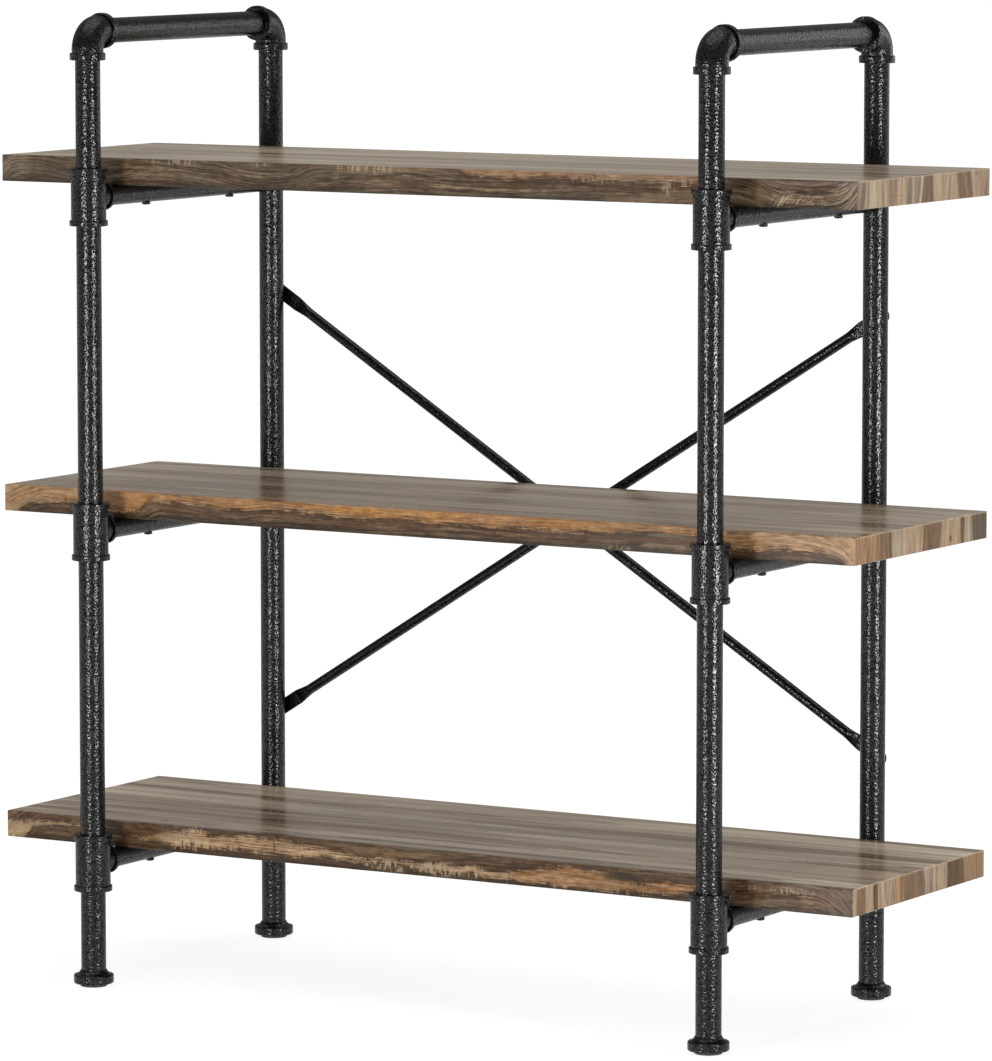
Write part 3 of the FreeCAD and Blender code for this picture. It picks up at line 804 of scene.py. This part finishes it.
MIDDLE_WOOD = StaveWood(
    name="live_edge_staves_middle",
    sap_low=((0.0, -0.2), (1.0, -0.25), (0.014, 0.0), (0.033, 0.3), (0.06, 0.45), (0.086, 0.5),
             (0.137, 0.22), (0.162, 0.26), (0.178, 0.68), (0.2, 0.78), (0.25, 0.7), (0.28, 0.53),
             (0.33, 0.69), (0.4, 0.6), (0.5, 0.64), (0.6, 0.57), (0.72, 0.6), (0.77, 0.75), (0.82, 0.7),
             (0.87, 0.3), (0.92, 0.47), (0.944, 0.48), (0.97, 0.37), (0.99, 0.08)),
    drift=((0.0, -0.3), (1.0, -0.35), (0.033, 0.25), (0.06, 0.45), (0.1, 0.45), (0.16, 0.3), (0.2, 0.7),
           (0.25, 0.62), (0.28, 0.45), (0.33, 0.6), (0.45, 0.5), (0.6, 0.5), (0.72, 0.55), (0.82, 0.6),
           (0.87, 0.3), (0.93, 0.47), (0.97, 0.33)),
    warmth=((0.0, 0.3), (1.0, 0.2), (0.1, 0.5), (0.25, 0.8), (0.75, 0.95), (0.88, 0.4)),
    ragged=((0.0, 0.04), (1.0, 0.04), (0.15, 0.12), (0.3, 0.08), (0.8, 0.12)),
    staves=((62, Tone.ORANGE), (32, Tone.UMBER), (35, Tone.PALE), (45, Tone.TAN),
            (47, Tone.UMBER), (52, Tone.TAN), (10, Tone.WALNUT), (21, Tone.PALE),
            (40, Tone.SMOKE)),
    marks=(
        Mark(-378, 0.55, (12, 7), Tone.TAN, 0.6, Figure.STROKES),
        Mark(284, 0.1, (17, 4), Tone.CREAM, 0.7, Figure.STROKES),
        Mark(352, 0.66, (22, 3.5), Tone.OLIVE, 0.8),
        Mark(345, 0.27, (42, 2.2), Tone.TAN, 0.75),
        Mark(350, 0.46, (40, 3), Tone.RUST, 0.6),
    ),
    top_marks=(
        Mark(-350, 0.55, (180, 3), Tone.CREAM, 0.5),
        Mark(120, 0.41, (330, 3), Tone.CREAM, 0.6),
        Mark(150, 0.38, (300, 2.5), Tone.SMOKE, 0.6),
        Mark(-430, 0.93, (180, 5), Tone.SMOKE, 0.6),
        Mark(350, 0.92, (240, 4), Tone.SMOKE, 0.5),
    ),
    end_marks=(
        Mark(-132, 0.66, (3.2, 1.6), Tone.RUST, 0.85),
        Mark(89, 0.28, (2.6, 3), Tone.RUST, 0.85),
    ),
    heart_dark="#32251A", heart_mid="#544232", heart_pale="#7E6A54",
)
BOTTOM_WOOD = StaveWood(
    name="live_edge_staves_bottom",
    sap_low=((0.0, 0.0), (1.0, 0.6), (0.02, 0.05), (0.04, 0.6), (0.12, 0.66), (0.15, 0.6), (0.19, 0.4),
             (0.22, 0.3), (0.25, 0.32), (0.34, 0.3), (0.4, 0.35), (0.48, 0.31), (0.55, 0.22),
             (0.62, 0.15), (0.75, 0.12), (0.81, 0.26), (0.84, 0.6), (0.95, 0.6)),
    sap_high=((0.0, 0.75), (1.0, 0.5), (0.02, 0.7), (0.04, 0.74), (0.12, 0.72), (0.15, 0.5), (0.19, 0.6),
              (0.22, 0.8), (0.25, 0.78), (0.33, 0.83), (0.38, 0.7), (0.43, 0.5), (0.5, 0.42),
              (0.59, 0.42), (0.65, 0.75), (0.71, 0.84), (0.76, 0.52), (0.81, 0.6), (0.84, 0.5),
              (0.95, 0.5)),
    drift=((0.0, -0.3), (1.0, -0.3), (0.03, 0.35), (0.06, 0.65), (0.09, 0.6), (0.13, 0.5), (0.25, 0.45),
           (0.4, 0.4), (0.5, 0.35), (0.6, 0.5), (0.75, 0.45), (0.86, 0.5), (0.92, 0.7), (0.95, 0.72),
           (0.98, 0.4)),
    warmth=((0.0, 0.1), (1.0, 0.1), (0.25, 0.3), (0.34, 0.1), (0.55, 0.2), (0.62, 0.75), (0.8, 0.8),
            (0.88, 0.1)),
    ragged=((0.0, 0.1), (1.0, 0.1), (0.1, 0.08), (0.22, 0.25), (0.35, 0.14), (0.5, 0.22), (0.62, 0.1),
            (0.8, 0.2), (0.9, 0.1)),
    staves=((10, Tone.TAN), (22, Tone.UMBER), (20, Tone.TAN), (12, Tone.WALNUT), (42, Tone.TAN),
            (27, Tone.ORANGE), (52, Tone.UMBER), (12, Tone.PALE), (47, Tone.TAN),
            (45, Tone.WALNUT), (55, Tone.ORANGE)),
    marks=(
        Mark(-586, 0.45, (12, 13), Tone.CREAM, 0.8, Figure.LINES),
        Mark(-535, 0.45, (40, 9), Tone.GREY, 0.7, Figure.LINES),
        Mark(-326, 0.6, (30, 12), Tone.CREAM, 0.7, Figure.TEETH),
        Mark(-385, 0.55, (34, 8), Tone.RUST, 0.5),
        Mark(-201, 0.6, (0.9, 9), Tone.DARK, 0.8),
        Mark(30, 0.33, (96, 6.5), Tone.CREAM, 0.8, Figure.TEETH),
        Mark(284, 0.68, (27, 4.5), Tone.DARK, 0.85),
        Mark(508, 0.74, (48, 4), Tone.CREAM, 0.6, Figure.TEETH),
        Mark(572, 0.55, (32, 14), Tone.ROSE, 0.8, Figure.LINES),
    ),
    top_marks=(
        Mark(-170, 0.6, (230, 3), Tone.CREAM, 0.7),
        Mark(-240, 0.57, (130, 2.5), Tone.DARK, 0.6),
        Mark(-220, 0.54, (180, 3), Tone.CREAM, 0.6),
        Mark(430, 0.46, (150, 3.5), Tone.CREAM, 0.6),
        Mark(60, 0.085, (460, 3), Tone.DARK, 0.7),
    ),
    end_marks=(
        Mark(-155, 0.5, (5, 14), Tone.CREAM, 0.5, Figure.STROKES),
        Mark(150, 0.45, (16, 7), Tone.ORANGE, 0.4),
    ),
    heart_dark="#281D12", heart_mid="#4E3D2C", heart_pale="#7C6850",
    sap_pale="#B59A7A", sap_orange="#88592A",
)
BOARD_WOODS = {Level.BOTTOM: BOTTOM_WOOD, Level.MIDDLE: MIDDLE_WOOD, Level.TOP: TOP_WOOD}


def let_go(kind: str) -> None:
    """Deselect the whole of the mesh at hand, so that parts of it can be picked in code.

    Args:
        kind: What is picked next: VERT, EDGE or FACE.
    """
    bpy.ops.object.mode_set(mode="EDIT")
    bpy.ops.mesh.select_mode(type=kind)
    bpy.ops.mesh.select_all(action="DESELECT")
    bpy.ops.object.mode_set(mode="OBJECT")


@dataclass
class Board:
    """One shelf board with softened, slightly uneven edges."""

    level: Level
    wood: StaveWood
    edge_round: float = 1.2 * MM
    edge_steps: int = 3
    wear_step: float = 15.0 * MM
    wear: float = 0.16 * MM
    worn_share: float = 0.9

    @property
    def node(self) -> str:
        """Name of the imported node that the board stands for."""
        return f"shelf_{self.level.value}"

    def build(self) -> Piece:
        """Model the board from a block: ease its edges, then wear them a little.

        Returns:
            The finished board.
        """
        low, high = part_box(self.node)
        bpy.ops.object.select_all(action="DESELECT")
        bpy.ops.mesh.primitive_cube_add(size=1.0, location=(low + high) / 2, scale=high - low)
        board = bpy.context.active_object
        board.name = f"stave_board_{self.level.value}"
        bpy.ops.object.transform_apply(location=True, rotation=True, scale=True)
        bpy.ops.object.mode_set(mode="EDIT")
        bpy.ops.mesh.select_all(action="SELECT")
        bpy.ops.mesh.bevel(offset=self.edge_round, segments=self.edge_steps, affect="EDGES")
        bpy.ops.object.mode_set(mode="OBJECT")
        self._cut_across(board, high.x - low.x)
        self._wear_edges(board)
        bpy.ops.object.shade_smooth_by_angle(angle=SOFT_ANGLE)
        bpy.ops.object.modifier_add(type="WEIGHTED_NORMAL")
        bpy.ops.object.modifier_apply(modifier=board.modifiers[-1].name)
        return board

    def _cut_across(self, board: Piece, length: float) -> None:
        """Divide the long edges, so that they can be worn.

        Args:
            board: The board.
            length: Its length.
        """
        let_go("EDGE")
        points = board.data.vertices
        for edge in board.data.edges:
            start, end = (points[n].co for n in edge.vertices)
            edge.select = abs(end.x - start.x) > length / 2
        bpy.ops.object.mode_set(mode="EDIT")
        bpy.ops.mesh.subdivide(number_cuts=round(length / self.wear_step))
        bpy.ops.object.mode_set(mode="OBJECT")

    def _wear_edges(self, board: Piece) -> None:
        """Push the rounded edges in and out by a hair.

        Args:
            board: The board.
        """
        low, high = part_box(self.node)
        let_go("VERT")
        near = self.edge_round * self.worn_share
        for point in board.data.vertices:
            inset = [min(point.co[n] - low[n], high[n] - point.co[n]) for n in range(3)]
            point.select = sum(distance < near for distance in inset) > 1
        bpy.ops.object.mode_set(mode="EDIT")
        bpy.ops.transform.vertex_random(offset=self.wear, normal=1.0, seed=list(Level).index(self.level) + 1)
        bpy.ops.object.mode_set(mode="OBJECT")

    def dress(self, board: Piece) -> None:
        """Give the board its wood and tie it to the frame.

        Args:
            board: The finished board.
        """
        board.data.materials.clear()
        board.data.materials.append(self.wood.material(*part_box(self.node)))
        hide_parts(self.node)
        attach(board, FRAME_BODY)


@dataclass
class LevellingStud:
    """Threaded stud of one levelling foot: a flat head in the pad, a core and a coarse metric thread."""

    corner: str
    finish: FineTexture = ZINC_PLATE
    radius: float = 3.97 * MM
    head_height: float = 1.2 * MM
    head_ease: float = 0.25 * MM
    pitch: float = 1.25 * MM
    ridge: float = 0.95 * MM
    root_overlap: float = 0.05 * MM
    tip: float = 0.8 * MM
    head_sides: int = 48
    steps: int = 24

    @property
    def node(self) -> str:
        """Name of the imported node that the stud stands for."""
        return f"levelling_stud_{self.corner}"

    @property
    def core(self) -> float:
        """Radius of the stud between the ridges of its thread."""
        return self.radius - self.ridge * math.sqrt(3) / 2 + self.root_overlap

    def build(self) -> Piece:
        """Model the stud and wind its thread.

        Returns:
            The finished stud.
        """
        thread = self._thread()
        stud = self._bar()
        thread.select_set(True)
        bpy.ops.object.join()
        stud.name = f"threaded_stud_{self.corner}"
        bpy.ops.object.shade_smooth_by_angle(angle=SOFT_ANGLE)
        return stud

    def _bar(self) -> Piece:
        """Draw the core up out of the head and chamfer its tip.

        Returns:
            The core and head.
        """
        low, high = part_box(self.node)
        middle = (low + high) / 2
        head_radius = (high.x - low.x) / 2
        top = low.z + self.head_height
        bpy.ops.object.select_all(action="DESELECT")
        bpy.ops.mesh.primitive_cylinder_add(vertices=self.head_sides, radius=head_radius,
                                            depth=self.head_height,
                                            location=(middle.x, middle.y, low.z + self.head_height / 2))
        bar = bpy.context.active_object
        bpy.ops.object.transform_apply(location=True, rotation=True, scale=True)
        bpy.ops.object.mode_set(mode="EDIT")
        bpy.ops.mesh.select_all(action="SELECT")
        bpy.ops.mesh.edges_select_sharp(sharpness=math.radians(60))
        bpy.ops.mesh.bevel(offset=self.head_ease, segments=2, affect="EDGES")
        let_go("FACE")
        for face in bar.data.polygons:
            face.select = face.normal.z > 0.9 and face.center.z > top - 0.1 * self.head_height
        bpy.ops.object.mode_set(mode="EDIT")
        bpy.ops.mesh.inset(thickness=head_radius - self.head_ease - self.core)
        rise = (0.0, 0.0, high.z - top - self.tip)
        bpy.ops.mesh.extrude_region_move(TRANSFORM_OT_translate={"value": rise})
        bpy.ops.mesh.inset(thickness=self.tip, depth=self.tip)
        bpy.ops.object.mode_set(mode="OBJECT")
        return bar

    def _thread(self) -> Piece:
        """Wind one three-sided ridge round the core.

        Returns:
            The thread.
        """
        low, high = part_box(self.node)
        start = low.z + self.head_height + self.ridge
        turns = int((high.z - self.tip - self.ridge - start) / self.pitch)
        reach = self.ridge / math.sqrt(3)
        quarter = math.radians(90)
        bpy.ops.object.select_all(action="DESELECT")
        bpy.ops.mesh.primitive_circle_add(vertices=3, radius=reach, rotation=(quarter, quarter, 0.0),
                                          location=(self.radius - reach, 0.0, start))
        thread = bpy.context.active_object
        bpy.ops.object.transform_apply(location=True, rotation=True, scale=True)
        bpy.ops.object.modifier_add(type="SCREW")
        screw = thread.modifiers[-1]
        screw.screw_offset = self.pitch
        screw.iterations = turns
        screw.steps = screw.render_steps = self.steps
        bpy.ops.object.modifier_apply(modifier=screw.name)
        middle = (low + high) / 2
        bpy.ops.object.mode_set(mode="EDIT")
        bpy.ops.mesh.select_all(action="SELECT")
        bpy.ops.mesh.fill_holes(sides=3)
        bpy.ops.mesh.select_all(action="SELECT")
        bpy.ops.mesh.normals_make_consistent(inside=False)
        bpy.ops.transform.translate(value=(middle.x, middle.y, 0.0))
        bpy.ops.object.mode_set(mode="OBJECT")
        return thread

    def dress(self, stud: Piece) -> None:
        """Plate the stud and tie it to its levelling foot.

        Args:
            stud: The finished stud.
        """
        stud.data.materials.clear()
        stud.data.materials.append(self.finish.material())
        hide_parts(self.node)
        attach(stud, f"levelling_foot_{self.corner}")


@dataclass
class PipeWork:
    """Posts, fittings, rails, braces, fasteners and feet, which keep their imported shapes."""

    painted: tuple[str, ...] = ("front_post", "rear_post", "tee", "elbow", "top_rail", "support_rail",
                                "foot_flange", "brace_falling", "brace_rising")
    blackened: tuple[str, ...] = ("shelf_screws", "rail_bolts", "brace_centre_bolt")
    plated: tuple[str, ...] = ("rail_end_plugs", "levelling_inserts", "levelling_stud", "brace_rivet_nuts",
                               "brace_bolts", "brace_centre_nut")
    moulded: tuple[str, ...] = ("levelling_pad",)

    def dress(self, nodes: dict[str, Piece]) -> None:
        """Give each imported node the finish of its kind.

        Args:
            nodes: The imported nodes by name.
        """
        finishes = (
            (self.painted, HammeredPaint()),
            (self.blackened, BlackenedSteel()),
            (self.plated, ZINC_PLATE),
            (self.moulded, GLIDE_PLASTIC),
        )
        for stems, finish in finishes:
            material = finish.material()
            for name, node in sorted(nodes.items()):
                if name.startswith(stems):
                    node.data.materials.clear()
                    node.data.materials.append(material)
                    LOG.info("dressed %s in %s", name, finish.name)


@dataclass(frozen=True)
class Panel:
    """A rectangular soft light.

    Its turn is in degrees round the unit from the front, positive to the right. It stands so many metres
    away with its middle at a height, and faces the unit's middle line at the height it is aimed at.
    """

    name: str
    turn: float
    distance: float
    middle: float
    aim: float
    size: tuple[float, float]
    power: float


@dataclass
class Studio:
    """White floor in a plain room, with strip lights, a softbox, an overhead light and the camera."""

    floor_size: float = 240.0
    floor_grey: float = 0.22
    floor_glow: float = 0.88
    ambient: float = 0.34
    room: str = "#FFF9F2"
    camera_place: tuple[float, float, float] = (4.045, -6.780, 1.443)
    camera_turn: float = 30.68
    camera_tilt: float = 6.28
    lens_mm: float = 219.5
    panels: tuple[Panel, ...] = (
        Panel("strip_left", -3.3, 3.2, 0.42, 0.42, (0.44, 0.9), 49.0),
        Panel("strip_right", 71.7, 3.2, 0.42, 0.42, (0.44, 0.9), 60.0),
        Panel("softbox_back", 152.0, 3.2, 1.7, 1.2, (1.8, 1.6), 15.0),
    )
    overhead: float = 1.4
    overhead_spread: float = 70.0

    def build(self) -> None:
        """Set the stage, the lights and the camera."""
        self._floor()
        self._world()
        for panel in self.panels:
            self._panel(panel)
        self._overhead()
        self._camera()
        bpy.context.scene.view_settings.view_transform = "Standard"

    def _floor(self) -> None:
        """Lay a floor that looks white and keeps a soft shadow."""
        bpy.ops.object.select_all(action="DESELECT")
        bpy.ops.mesh.primitive_plane_add(size=self.floor_size)
        floor = bpy.context.active_object
        floor.name = "studio_floor"
        material, tree, _ = new_material("white_sweep")
        rays = add_node(tree, "LightPath")
        sight = (rays["Is Camera Ray"], rays["Is Glossy Ray"])
        direct = add_node(tree, "Math", sight, operation="MAXIMUM")[0]
        seen = add_node(tree, "Math", (direct, rays["Is Transmission Ray"]), operation="MAXIMUM")[0]
        glow = add_node(tree, "Math", (seen, self.floor_glow), operation="MULTIPLY")[0]
        light = add_node(tree, "Emission", {"Strength": glow})[0]
        paint = add_node(tree, "BsdfDiffuse", {"Color": (self.floor_grey,) * 3 + (1.0,)})[0]
        both = add_node(tree, "AddShader", (paint, light))[0]
        add_node(tree, "OutputMaterial", {"Surface": both})
        floor.data.materials.append(material)

    def _world(self) -> None:
        """Surround the object with an even, slightly warm room."""
        world = bpy.data.worlds.new("warm_room")
        world.use_nodes = True
        tree = world.node_tree
        tree.nodes.clear()
        sky = add_node(tree, "Background", {"Color": linear(self.room), "Strength": self.ambient})[0]
        add_node(tree, "OutputWorld", {"Surface": sky})
        bpy.context.scene.world = world

    def _panel(self, panel: Panel) -> None:
        """Stand a panel light round the unit.

        Args:
            panel: The panel.
        """
        data = bpy.data.lights.new(panel.name, "AREA")
        data.shape = "RECTANGLE"
        data.size, data.size_y = panel.size
        data.energy = panel.power
        lamp = bpy.data.objects.new(panel.name, data)
        angle = math.radians(panel.turn)
        lamp.location = (panel.distance * math.sin(angle), -panel.distance * math.cos(angle), panel.middle)
        aim = Vector((0.0, 0.0, panel.aim)) - lamp.location
        lamp.rotation_euler = aim.to_track_quat("-Z", "Y").to_euler()
        lamp.visible_camera = False
        bpy.context.scene.collection.objects.link(lamp)

    def _overhead(self) -> None:
        """Hang a wide soft light overhead."""
        data = bpy.data.lights.new("overhead", "SUN")
        data.energy = self.overhead
        data.angle = math.radians(self.overhead_spread)
        bpy.context.scene.collection.objects.link(bpy.data.objects.new("overhead", data))

    def _camera(self) -> None:
        """Put the camera where the photograph was taken from."""
        data = bpy.data.cameras.new("camera")
        data.lens = self.lens_mm
        data.clip_end = self.floor_size
        camera = bpy.data.objects.new("camera", data)
        camera.location = self.camera_place
        camera.rotation_euler = (math.radians(90 - self.camera_tilt), 0.0, math.radians(self.camera_turn))
        bpy.context.scene.collection.objects.link(camera)
        bpy.context.scene.camera = camera


def main() -> None:
    """Build the pieces in order and log the faces of each."""
    logging.basicConfig(level=logging.INFO, format="%(message)s")
    PipeWork().dress(frame["nodes"])
    boards = [Board(level, BOARD_WOODS[level]) for level in Level]
    studs = [LevellingStud(corner) for corner in CORNERS]
    for part in boards + studs:
        piece = part.build()
        part.dress(piece)
        LOG.info("built %s, %d faces", piece.name, len(piece.data.polygons))
    Studio().build()


if __name__ == "__main__":
    main()
